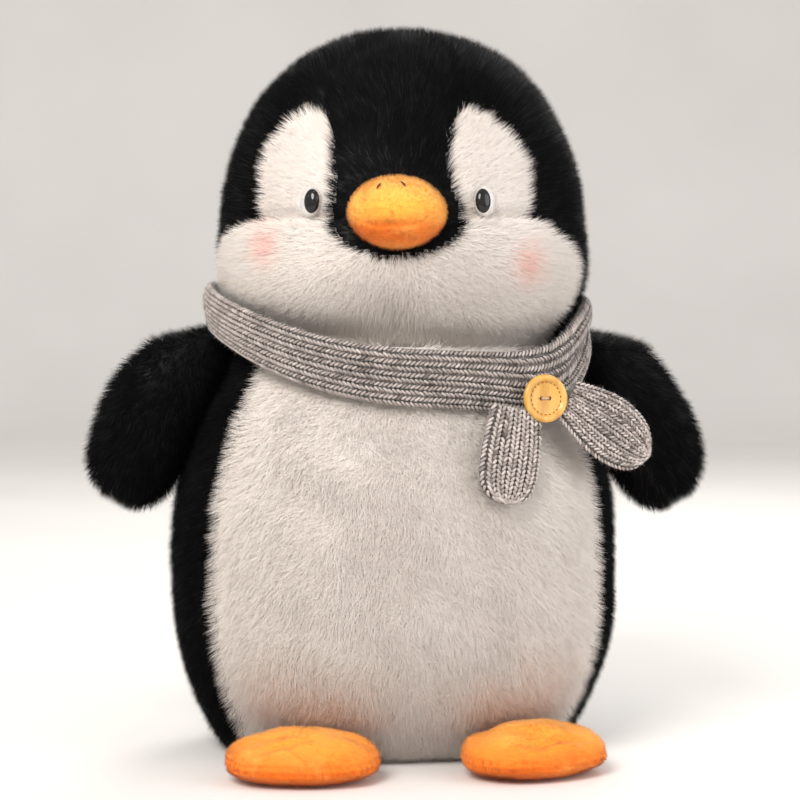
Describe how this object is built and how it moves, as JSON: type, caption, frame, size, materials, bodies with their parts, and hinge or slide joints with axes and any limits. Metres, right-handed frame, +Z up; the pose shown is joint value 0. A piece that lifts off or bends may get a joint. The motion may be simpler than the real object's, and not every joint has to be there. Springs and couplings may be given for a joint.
{
  "type": "stuffed penguin toy",
  "caption": "Soft toy penguin with furry black and white body, flipper wings, velvet beak and feet, and a grey knitted scarf pinned with a button.",
  "frame": {"origin": "on the ground under the middle of the neck, in the flat base panel", "axes": "+Z up, -Y to the front of the torso, +X to the toy's own left"},
  "size_m": [0.2941, 0.1995, 0.347],
  "materials": {
    "black_fur": "long pile faux fur",
    "white_fur": "long pile faux fur",
    "stuffing": "polyester fibre filling",
    "yellow_velvet": "short velvet",
    "orange_velvet": "short velvet",
    "grey_knit": "ribbed knit",
    "button_wood": "varnished",
    "brown_thread": "twisted thread",
    "pink_ribbon": "woven ribbon",
    "eye_white": "polished",
    "eye_black": "polished",
    "clear_plastic": "moulded"
  },
  "bodies": {
    "torso": {"belly_panel": "white_fur", "back_panel_left": "black_fur", "back_panel_right": "black_fur", "base_panel": "white_fur", "torso_filling": "stuffing", "scarf_loop": "grey_knit", "scarf_button": "button_wood", "button_thread": "brown_thread", "seam_label": "pink_ribbon"},
    "head": {"hood_left": "black_fur", "hood_right": "black_fur", "hood_gusset": "black_fur", "eye_patch_left": "white_fur", "eye_patch_right": "white_fur", "cheek_left": "white_fur", "cheek_right": "white_fur", "head_filling": "stuffing", "beak_upper": "yellow_velvet", "beak_lower": "orange_velvet", "beak_filling": "stuffing", "nostril_stitches": "brown_thread", "eye_left": "eye_white", "eye_right": "eye_white", "pupil_left": "eye_black", "pupil_right": "eye_black", "eye_washers": "clear_plastic"},
    "wing_left": {"wing_left_front": "black_fur", "wing_left_back": "black_fur", "wing_left_filling": "stuffing"},
    "wing_right": {"wing_right_front": "black_fur", "wing_right_back": "black_fur", "wing_right_filling": "stuffing"},
    "foot_left": {"foot_left_top": "yellow_velvet", "foot_left_sole": "orange_velvet", "foot_left_filling": "stuffing"},
    "foot_right": {"foot_right_top": "yellow_velvet", "foot_right_sole": "orange_velvet", "foot_right_filling": "stuffing"},
    "tail_front": {"scarf_tail_front": "grey_knit"},
    "tail_side": {"scarf_tail_side": "grey_knit"}
  },
  "joints": [
    {"name": "head_turn", "type": "hinge", "parent": "torso", "child": "head", "pos_m": [0.0056, 0, 0.1963], "axis": [0, 0, 1], "range_deg": [-10, 20], "stiffness_Nm_per_rad": 0.15},
    {"name": "wing_left_lift", "type": "hinge", "parent": "torso", "child": "wing_left", "pos_m": [0.096, 0, 0.182], "axis": [0, -1, 0], "range_deg": [0, 50]},
    {"name": "wing_right_lift", "type": "hinge", "parent": "torso", "child": "wing_right", "pos_m": [-0.096, 0, 0.182], "axis": [0, 1, 0], "range_deg": [0, 50]},
    {"name": "foot_left_lift", "type": "hinge", "parent": "torso", "child": "foot_left", "pos_m": [0.04719, -0.05971, 0.019], "axis": [-0.9703, -0.2419, 0], "range_deg": [0, 15]},
    {"name": "foot_right_lift", "type": "hinge", "parent": "torso", "child": "foot_right", "pos_m": [-0.04719, -0.05971, 0.019], "axis": [-0.9703, 0.2419, 0], "range_deg": [0, 15]},
    {"name": "tail_front_swing", "type": "hinge", "parent": "torso", "child": "tail_front", "pos_m": [0.044, -0.0826, 0.16], "axis": [-0.9272, -0.3746, 0], "range_deg": [0, 45]},
    {"name": "tail_side_lift", "type": "hinge", "parent": "torso", "child": "tail_side", "pos_m": [0.071, -0.073, 0.1684], "axis": [-0.498, -0.181, -0.8481], "range_deg": [0, 40], "stiffness_Nm_per_rad": 0.01}
  ]
}
